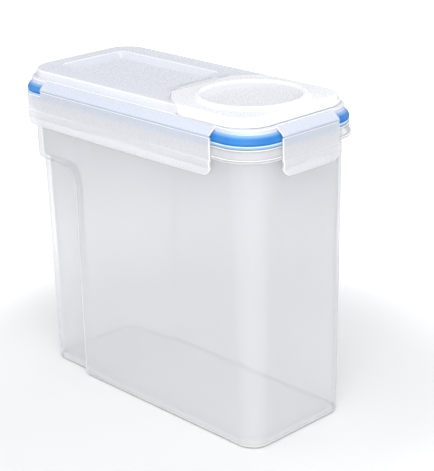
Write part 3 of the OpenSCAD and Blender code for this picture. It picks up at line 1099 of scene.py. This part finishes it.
@dataclass
class Flap:
    """A clip-down flap that hangs from the lid by a living hinge.

    Attributes:
        side: which side of the lid it is on.
        top: level of its upper edge.
        low: level of its lower edge.
        gap: gap to the rim.
        wall: its thickness.
        lip: how far its lower edge turns out.
        lip_bow: share of that lost towards the flap's ends.
        lip_flat: height over which it is turned out in full.
        lip_fade: height over which it then turns back.
        ridge: how far its ridge stands out.
        ridge_run: heights at which the ridge starts, is full, starts to fall and ends.
        ridge_gap: share of the flap's length that the ridge leaves free in the middle.
        ridge_ease: share over which its ends fade.
        tail_drop: how much lower its tail's upper edge is.
        radius: radius of its lower corners.
        rows: heights of the rows of faces in its plate.
        edge: rounding of its edges.
        web: height of its living hinge.
        web_wall: thickness of that hinge.
        pinch: depth of the groove along that hinge.
    """

    side: Side
    top: float = 190.5
    low: float = 168.5
    gap: float = 0.3
    wall: float = 1.5
    lip: float = 1.4
    lip_bow: float = 0.75
    lip_flat: float = 1.5
    lip_fade: float = 4.1
    ridge: float = 0.6
    ridge_run: tuple[float, float, float, float] = (4.4, 5.6, 8.6, 9.4)
    ridge_gap: float = 0.18
    ridge_ease: float = 0.25
    tail_drop: float = 2.6
    radius: float = 5.0
    rows: tuple[float, ...] = (0.7, 1.5, 2.5, 3.5, 4.4, 5.0, 5.6, 7.0, 8.2, 8.6, 9.0, 9.4, 12.0, 20.0)
    edge: float = 0.42
    web: float = 1.0
    web_wall: float = 0.5
    pinch: float = 0.12

    def face(self) -> list[Corner]:
        """Gives the flap's face as seen from outside, as distance along it and height.

        Returns:
            The face's corners.
        """
        half, tail = self.side.length / 2, self.side.tail
        corners = [
            Corner(half, self.low, self.radius, 8), Corner(half, self.top, 0.7, 3),
            Corner(-half, self.top, 0.7, 3),
        ]
        if tail:
            step = self.top - self.tail_drop
            corners += [Corner(-half, step, 0.6, 3), Corner(-half - tail, step, 1.2, 4)]
        return corners + [Corner(-half - tail, self.low, self.radius, 8)]

    def reach(self, along: float, level: float) -> float:
        """Gives how far the outer face stands out from the rim.

        Args:
            along: place along the flap.
            level: height above the base.

        Returns:
            The distance.
        """
        half, tail = self.side.length / 2, self.side.tail
        rise = level - self.low
        bow = 1 - self.lip_bow * min(1.0, abs(along + tail / 2) / (half + tail / 2)) ** 2
        lip = 0.5 + 0.5 * math.cos(math.pi * held((rise - self.lip_flat) / self.lip_fade))
        ends = held((abs(along) / half - self.ridge_gap) / self.ridge_ease)
        start, full, fall, end = self.ridge_run
        ridge = held(min((rise - start) / (full - start), (end - rise) / (end - fall)))
        return self.gap + self.wall + self.lip * lip * bow + self.ridge * ridge * ends

    def bend(self, made: Moulding, wall: float, reach: object) -> None:
        """Stands a flat panel up at the rim, gives it its thickness and moves it to its side.

        Args:
            made: the mesh under construction.
            wall: the thickness.
            reach: a function from place along the panel and level to how far it stands out.
        """
        for vert in made.bm.verts:
            along, level = vert.co.x / MM, vert.co.y / MM
            vert.co = Vector((reach(along, level), along, level)) * MM
        made.thicken(wall, Axis.X)

    def plate(self) -> Moulding:
        """Moulds the flap's plate.

        Returns:
            The moulded plate.
        """
        made = Moulding(self.side.rider.value + "_plate")
        made.panel(self.face())
        for rise in self.rows:
            made.cut(Axis.Y, self.low + rise)
        length, tail, columns = self.side.length, self.side.tail, self.side.columns
        for k in range(1, columns):
            made.cut(Axis.X, -length / 2 - tail + (length + tail) * k / columns)
        self.bend(made, self.wall, self.reach)
        made.soften(made.crisp(50.0), self.edge, 1.0)
        self.side.place(made)
        return made

    def hinge(self) -> Moulding:
        """Moulds the living hinge above the flap.

        Returns:
            The moulded hinge.
        """
        made = Moulding(self.side.rider.value + "_hinge_strip")
        half, low, high = self.side.length / 2, self.top, self.top + self.web
        places = ((-half, low), (half, low), (half, high), (-half, high))
        made.panel([Corner(*place, 0.1, 1) for place in places])
        middle = self.top + self.web / 2
        made.cut(Axis.Y, middle)

        def groove(_: float, level: float) -> float:
            """Gives how far the hinge stands out: least along its middle."""
            return self.gap + self.wall - self.pinch * (1 - abs(level - middle) / (self.web / 2))

        self.bend(made, self.web_wall, groove)
        self.side.place(made)
        return made

    def build(self, finish: bpy.types.Material, hinge_finish: bpy.types.Material) -> None:
        """Moulds the flap and its hinge.

        Args:
            finish: the flap's plastic.
            hinge_finish: the thin hinge's plastic.
        """
        node = self.side.rider.value
        hand_over(self.plate(), finish, self.side.rider, Slot.LID, node)
        hand_over(self.hinge(), hinge_finish, Rider.LID, Slot.LID, node.replace("_flap", "_hinge_web"))


@dataclass(frozen=True)
class CapHinge:
    """The line about which the cap turns, and the level of the lid about it.

    Attributes:
        x: its place along the container.
        z: its level.
        top: level of the lid's raised top and of the cap's edge.
        opening_x: middle of the pour opening and of the cap's dish.
    """

    x: float = 14.4
    z: float = 199.8
    top: float = 202.2
    opening_x: float = 60.0


CAP_HINGE = CapHinge()


@dataclass
class Lid:
    """The lid: raised top with its sunk panel, shoulders, deck, corner lips and pour opening.

    Attributes:
        rim: the rim's outline.
        hinge: the cap's hinge.
        edge: rounding of its crisp edges.
        lit_above: level above which its edges gather light.
        arc_x: centre of the raised top's front face.
        arc_radius: radius of that face.
        arc_close: how far that face comes forward to meet the cap.
        arc_fit: how near to that radius its points are.
        arc_end: how far forward that face reaches.
        cuts: places along the lid at which its large faces are split.
        cheek_radius: radius of the cheeks beside the hinge.
        cheek_y: distance from the lid's middle line to the middle of a cheek.
        cheek_width: their width.
        lugs: half the length and half the width taken up by the hinge's lugs.
        deck: level of the deck.
        lip_low: level of the corner lips' lower edge.
        lip_high: level of their upper edge.
        lip_face: how far their face is set in from the rim.
        lip_wall: their thickness.
        lip_ends: half the lengths of the rim that they leave free, along and across.
    """

    rim: RimPlan = RIM
    hinge: CapHinge = CAP_HINGE
    edge: float = 0.45
    lit_above: float = 189.0
    arc_x: float = 57.0
    arc_radius: float = 45.6
    arc_close: float = 0.54
    arc_fit: float = 0.06
    arc_end: float = 46.0
    cuts: tuple[float, ...] = (-90.0, 22.0, 34.0, 47.0)
    cheek_radius: float = 5.1
    cheek_y: float = 19.4
    cheek_width: float = 10.4
    lugs: tuple[float, float] = (4.0, 20.0)
    deck: float = 196.8
    lip_low: float = 193.5
    lip_high: float = 196.8
    lip_face: float = 2.9
    lip_wall: float = 1.6
    lip_ends: tuple[float, float] = (75.0, 23.0)

    def top_and_shoulders(self) -> Moulding:
        """Moulds the raised top, the shoulders and the deck.

        Returns:
            The moulded top.
        """
        made = Moulding("lid_top")
        made.trace("lid_panel")
        made.cut(Axis.Y, 0.0)
        made.cut(Axis.X, self.hinge.opening_x)
        centre = Vector((self.arc_x, 0)) * MM
        for vert in made.bm.verts:
            away = vert.co.xy - centre
            on_face = abs(away.length - self.arc_radius * MM) < self.arc_fit * MM
            if on_face and vert.co.z > (self.deck + 0.1) * MM and vert.co.x < self.arc_end * MM:
                near = away.normalized() * (self.arc_radius - self.arc_close) * MM + centre
                vert.co = Vector((near.x, near.y, vert.co.z))
        for place in self.cuts:
            made.cut(Axis.X, place)
        made.soften([e for e in made.crisp(35.0, self.lit_above) if not self.by_hinge(e)], self.edge, 1.0)
        return made

    def by_hinge(self, edge: bmesh.types.BMEdge) -> bool:
        """Tells whether an edge belongs to the small lugs inside the hinge's cheeks."""
        middle = (edge.verts[0].co + edge.verts[1].co) / 2 / MM
        return abs(middle.x - self.hinge.x) < self.lugs[0] and abs(middle.y) < self.lugs[1]

    def corner_lips(self) -> Moulding:
        """Moulds the lips that turn down over the gasket at the four corners.

        Returns:
            The moulded lips.
        """
        made = Moulding("lid_corner_lips")
        back = self.lip_face + self.lip_wall
        made.section(self.rim.outline, [
            Step(back, self.lip_low + 0.4), Step(self.lip_face, self.lip_low, 0.5, 1.0),
            Step(self.lip_face + 0.3, self.lip_high - 0.6, 0.4, 0.6), Step(back, self.lip_high, 0.3),
        ], closed=True)
        made.corners_only(*self.lip_ends, rear=True)
        return made

    def hinge_cheeks(self) -> Moulding:
        """Moulds the cheeks that fill the lid beside the cap's hinge, round about its line.

        Returns:
            The moulded cheeks.
        """
        made = Moulding("hinge_cheeks")
        for side in (-1, 1):
            middle = Vector((self.hinge.x, side * self.cheek_y, self.hinge.z))
            made.rod(middle, self.cheek_radius, self.cheek_width, 96)
        made.cut(Axis.Z, self.deck - 0.4, keep=1)
        made.cut(Axis.Z, self.hinge.top, keep=-1)
        made.cut(Axis.X, self.hinge.x - 0.5, keep=1)
        made.soften(made.crisp(40.0, self.deck + 2), 0.35, 0.8)
        return made

    def build(self, finish: bpy.types.Material) -> None:
        """Moulds the lid.

        Args:
            finish: its frosted plastic.
        """
        hand_over(self.top_and_shoulders(), finish, Rider.LID, Slot.LID, "lid_panel")
        hand_over(self.corner_lips(), finish, Rider.LID, Slot.LID)
        hand_over(self.hinge_cheeks(), finish, Rider.LID, Slot.LID)


@dataclass
class FlipCap:
    """The milky cap over the pour opening, with its dish, skirt, plug ring and seal.

    Attributes:
        hinge: its hinge.
        rear_x: centre of its rear arc.
        rear_radius: radius of that arc.
        rear_edge: where the cap starts beside its knuckle.
        front_x: its front edge.
        half_w: half its width.
        front_radius: its front corners' radius.
        low: level of its lower edge.
        bead: how far the bead along its lower edge stands out.
        edge: rounding of its upper edge.
        skin: its thickness.
        skirt_lights: how strongly light gathers in each ring of the skirt, from its foot up.
        dome: radius and level of the rings from the cap's edge to the dish's floor.
        dome_lights: how strongly light gathers in the first of those rings.
        knuckle: radius of the knuckle.
        knuckle_l: length of the knuckle.
        pin: radius of the trunnions.
        pin_l: length over the trunnions.
        ring_inner: inner radius of the plug ring.
        ring_outer: its outer radius.
        groove: radius of the seal's groove.
    """

    hinge: CapHinge = CAP_HINGE
    rear_x: float = 57.0
    rear_radius: float = 45.0
    rear_edge: float = 19.6
    front_x: float = 98.2
    half_w: float = 43.2
    front_radius: float = 18.0
    low: float = 197.1
    bead: float = 0.8
    edge: float = 2.5
    skin: float = 1.5
    skirt_lights: tuple[float, ...] = (0.8, 1.0, 0.9, 0.9, 0.8, 0.8, 0.7, 0.55, 0.4)
    dome: tuple[tuple[float, float], ...] = (
        (35.2, 202.22), (34.3, 202.6), (33.2, 203.25), (32.0, 203.8), (31.0, 204.0), (30.3, 203.95),
        (29.75, 203.6), (29.2, 202.9), (28.3, 202.1), (26.6, 201.35), (24.0, 200.6), (20.5, 200.15),
        (12.0, 199.9),
    )
    dome_lights: tuple[float, ...] = (0.4, 0.4, 0.5, 0.7, 0.8, 0.8, 0.5, 0.2)
    knuckle: float = 2.4
    knuckle_l: float = 27.6
    pin: float = 1.2
    pin_l: float = 36.2
    ring_inner: float = 22.4
    ring_outer: float = 25.2
    groove: float = 24.0

    def outline(self, made: Moulding, inset: float, arc_inset: float, height: float) -> Ring:
        """Draws the cap's outline: a round rear, straight sides and a front with round corners.

        Args:
            made: the mesh under construction.
            inset: how far the sides and the front are drawn in.
            arc_inset: how far the round rear is drawn in.
            height: its level.

        Returns:
            The outline's edges.
        """
        bm = made.bm
        before = set(bm.edges)
        half, radius = self.half_w - inset, self.rear_radius - arc_inset
        sweep = math.asin(half / radius)
        start = bm.verts.new(Vector((self.rear_x - radius * math.cos(sweep), -half, height)) * MM)
        bmesh.ops.spin(
            bm, geom=[start], cent=Vector((self.rear_x, 0, height)) * MM, axis=(0, 0, 1), dvec=(0, 0, 0),
            angle=-2 * sweep, steps=64, use_duplicate=False,
        )
        arc = {v for e in bm.edges if e not in before for v in e.verts}
        ends = sorted((v for v in arc if len(v.link_edges) == 1), key=lambda v: v.co.y)
        front = [bm.verts.new(Vector((self.front_x - inset, side * half, height)) * MM) for side in (-1, 1)]
        for pair in ((ends[0], front[0]), (front[0], front[1]), (front[1], ends[1])):
            bm.edges.new(pair)
        bmesh.ops.contextual_create(bm, geom=[e for e in bm.edges if e not in before])
        for vert in front:
            made.round_off([vert], self.front_radius - inset, 14, "VERTICES")
        return made.opened(before)

    def skirt_and_dish(self) -> Moulding:
        """Moulds the cap's skin, from its lower edge over the ring to the dish.

        Returns:
            The moulded skin.
        """
        made = Moulding("flip_cap_skin")
        shoulder = self.hinge.top - self.edge
        rings = [
            self.outline(made, -self.bead, -0.1, self.low),
            self.outline(made, -self.bead, -0.1, self.low + 1.1),
            self.outline(made, 0.0, 0.0, self.low + 1.7),
            self.outline(made, 0.0, 0.0, shoulder),
        ]
        for turn in (18, 36, 54, 72, 90):
            t = math.radians(turn)
            fall, level = 1 - math.cos(t), self.hinge.top - self.edge * (1 - math.sin(t))
            rings.append(self.outline(made, self.edge * fall, 0.4 * fall, level))
        made.loft(rings)
        made.light_rings(rings, self.skirt_lights)
        circles = [made.circle(self.hinge.opening_x, radius, level) for radius, level in self.dome]
        bmesh.ops.triangle_fill(made.bm, use_beauty=True, edges=rings[-1] + circles[0], normal=(0, 0, 1))
        made.light_rings(circles, self.dome_lights)
        made.loft(circles)
        made.cover(circles[-1])
        made.thicken(self.skin, Axis.Z)
        made.cut(Axis.X, self.rear_edge, keep=1)
        return made

    def knuckle_and_plug(self) -> Moulding:
        """Moulds the knuckle with its trunnions and tab, and the plug ring with the seal's groove.

        Returns:
            The moulded knuckle and ring.
        """
        made = Moulding("flip_cap_knuckle_and_plug")
        line = Vector((self.hinge.x, 0, self.hinge.z))
        made.rod(line, self.knuckle, self.knuckle_l, 64)
        made.rod(line, self.pin, self.pin_l, 64)
        long, tall = self.rear_edge - self.hinge.x + self.skin, self.hinge.top - self.low
        place = Vector((self.hinge.x + long / 2, 0, self.low + tall / 2)) * MM
        sizes = Matrix.Diagonal(Vector((long, self.knuckle_l, tall, 1000)) * MM)
        bmesh.ops.create_cube(made.bm, size=1.0, matrix=Matrix.Translation(place) @ sizes)
        made.soften(made.crisp(60.0, self.low + 1), 0.3, 0.8)
        made.turned(self.hinge.opening_x, [
            Step(self.ring_inner, 194.6, 0.3), Step(self.ring_outer, 194.6, 0.3),
            Step(self.ring_outer, 195.4, 0.1), Step(self.groove, 195.4), Step(self.groove, 197.2),
            Step(self.ring_outer, 197.2, 0.1), Step(self.ring_outer, 199.6), Step(self.ring_inner, 199.3),
        ])
        return made

    def seal(self) -> Moulding:
        """Moulds the seal in its groove, with two sealing lips.

        Returns:
            The moulded seal.
        """
        made = Moulding("cap_seal_ring")
        back, lip, waist = self.groove + 0.05, self.ring_outer + 0.55, self.ring_outer + 0.2
        made.turned(self.hinge.opening_x, [
            Step(back, 195.45), Step(lip, 195.45, 0.3), Step(lip, 196.0, 0.15), Step(waist, 196.3, 0.1),
            Step(lip, 196.6, 0.15), Step(lip, 197.15, 0.3), Step(back, 197.15),
        ])
        return made

    def build(self, finish: bpy.types.Material, rubber: bpy.types.Material) -> None:
        """Moulds the cap and its seal.

        Args:
            finish: the cap's plastic.
            rubber: the seal's silicone.
        """
        hand_over(self.skirt_and_dish(), finish, Rider.CAP, Slot.CAP, "flip_cap")
        hand_over(self.knuckle_and_plug(), finish, Rider.CAP, Slot.CAP)
        hand_over(self.seal(), rubber, Rider.CAP, Slot.SEAL, "cap_seal")


# ---------------------------------------------------------------- studio


@dataclass(frozen=True)
class Lamp:
    """A soft square lamp.

    Attributes:
        name: its name.
        place: where it hangs.
        size: its side.
        power: its power in watts.
    """

    name: str
    place: tuple[float, float, float]
    size: float
    power: float

    def hang(self, aim: Vector) -> None:
        """Hangs the lamp.

        Args:
            aim: the point it faces.
        """
        data = bpy.data.lights.new(self.name, "AREA")
        data.shape, data.size, data.energy = "SQUARE", self.size, self.power
        made = bpy.data.objects.new(self.name, data)
        bpy.context.scene.collection.objects.link(made)
        place = Vector(self.place)
        turn = (place - aim).to_track_quat("Z", "Y").to_matrix().to_4x4()
        made.matrix_world = Matrix.Translation(place) @ turn


@dataclass
class Studio:
    """The pale floor, the soft lights and the camera.

    Attributes:
        azimuth: the camera's bearing round the object, in degrees.
        elevation: its height above the horizon, in degrees.
        roll: its roll, in degrees.
        distance: its distance from the point it looks at.
        focal: its focal length in pixels of the photograph's frame.
        image_height: height of that frame in pixels.
        target: the point it looks at.
        lamps: the lamps.
        aim: the point that the lamps face.
        sky: colour of the even light from all round.
        sky_strength: strength of that light.
        floor_size: half the floor's length.
        floor_tones: the floor's darker and paler tone.
        floor_white: distances between which the floor turns white, as the camera sees it.
        floor_lift: light added there at those distances; the little added near the object leaves a painted
            shade round it.
    """

    azimuth: float = 46.09
    elevation: float = 20.37
    roll: float = -1.28
    distance: float = 893.82 * MM
    focal: float = 1424.98
    image_height: float = 471.0
    target: Vector = field(default_factory=lambda: Vector((13.58, 14.37, 100.70)) * MM)
    lamps: tuple[Lamp, ...] = (
        Lamp("front", (1.08, -0.92, 0.42), 1.3, 17.0),
        Lamp("key", (0.6, -0.5, 1.5), 1.0, 8.0),
        Lamp("fill", (-1.1, -0.9, 0.6), 1.2, 5.0),
        Lamp("back", (-0.3, 1.2, 1.0), 1.2, 4.0),
    )
    aim: Vector = field(default_factory=lambda: Vector((0.0, 0.0, 0.10)))
    sky: Colour = (0.97, 0.98, 1.0)
    sky_strength: float = 0.66
    floor_size: float = 6.0
    floor_tones: tuple[float, float] = (0.735, 0.755)
    floor_white: tuple[float, float] = (0.14, 0.34)
    floor_lift: tuple[float, float] = (0.07, 0.70)

    def camera(self) -> None:
        """Makes the camera at the photograph's angle."""
        data = bpy.data.cameras.new("camera")
        data.sensor_fit = "AUTO"
        data.sensor_width = 36.0
        data.lens = self.focal * data.sensor_width / self.image_height
        data.clip_start, data.clip_end = 0.05, 20.0
        made = bpy.data.objects.new("camera", data)
        bpy.context.scene.collection.objects.link(made)
        a, e, r = (math.radians(angle) for angle in (self.azimuth, self.elevation, self.roll))
        back = Vector((math.sin(a) * math.cos(e), -math.cos(a) * math.cos(e), math.sin(e)))
        right = (-back).cross(Vector((0, 0, 1))).normalized()
        up = right.cross(-back).normalized()
        right, up = right * math.cos(r) + up * math.sin(r), up * math.cos(r) - right * math.sin(r)
        turn = Matrix((right, up, back)).transposed().to_4x4()
        made.matrix_world = Matrix.Translation(self.target + back * self.distance) @ turn
        bpy.context.scene.camera = made

    def world(self) -> None:
        """Makes the white background and its even light."""
        world = bpy.data.worlds.new("studio")
        bpy.context.scene.world = world
        recipe = Recipe(world)
        seen = recipe.node("Background", {"Color": WHITE, "Strength": 1.0})
        light = recipe.node("Background", {"Color": self.sky, "Strength": self.sky_strength})
        path = recipe.node("LightPath").outputs
        either = recipe.math("MAXIMUM", path["Is Camera Ray"], path["Is Transmission Ray"])
        recipe.surface(recipe.blend(either, light, seen))

    def floor(self) -> None:
        """Makes the pale floor, which keeps the object's shadow; it is left darker near the object, a painted
        shade, and lifted to white further out.
        """
        mesh = bpy.data.meshes.new("floor")
        bm = bmesh.new()
        bmesh.ops.create_grid(bm, x_segments=1, y_segments=1, size=self.floor_size)
        bm.to_mesh(mesh)
        bm.free()
        made = bpy.data.objects.new("floor", mesh)
        bpy.context.scene.collection.objects.link(made)
        recipe = Recipe(bpy.data.materials.new("pale_floor"))
        darker, paler = ((tone, tone, tone) for tone in self.floor_tones)
        ground = recipe.node("BsdfDiffuse", {"Color": recipe.mix(recipe.noise(3.0, 2.0), darker, paler)})
        away = recipe.node("VectorMath", {0: recipe.place}, operation="LENGTH").outputs["Value"]
        # painted shade: little light is added near the object, and white is reached further out
        white = recipe.ramp(away, *self.floor_white, *self.floor_lift)
        seen = recipe.math("MULTIPLY", recipe.node("LightPath").outputs["Is Camera Ray"], white)
        lift = recipe.node("Emission", {"Color": WHITE, "Strength": seen})
        recipe.surface(recipe.node("AddShader", {0: ground.outputs[0], 1: lift.outputs[0]}))
        mesh.materials.append(recipe.owner)

    def build(self) -> None:
        """Makes the whole studio."""
        bpy.context.scene.view_settings.view_transform = "Standard"
        self.camera()
        self.world()
        self.floor()
        for lamp in self.lamps:
            lamp.hang(self.aim)


@dataclass
class Finishes:
    """The materials, each made once."""

    body: bpy.types.Material = field(default_factory=BODY_FINISH.material)
    lid: bpy.types.Material = field(default_factory=LID_FINISH.material)
    flap: bpy.types.Material = field(default_factory=FLAP_FINISH.material)
    hinge: bpy.types.Material = field(default_factory=HINGE_FINISH.material)
    cap: bpy.types.Material = field(default_factory=CAP_FINISH.material)
    seal: bpy.types.Material = field(default_factory=SEAL_FINISH.material)


def main() -> None:
    """Builds the studio and every piece, in order."""
    logging.basicConfig(level=logging.INFO, format="%(message)s")
    Studio().build()
    finishes = Finishes()
    Container().build(finishes.body)
    Gasket().build(finishes.seal)
    Lid().build(finishes.lid)
    for side in SIDES:
        Flap(side).build(finishes.flap, finishes.hinge)
    FlipCap().build(finishes.cap, finishes.seal)


if __name__ == "__main__":
    main()
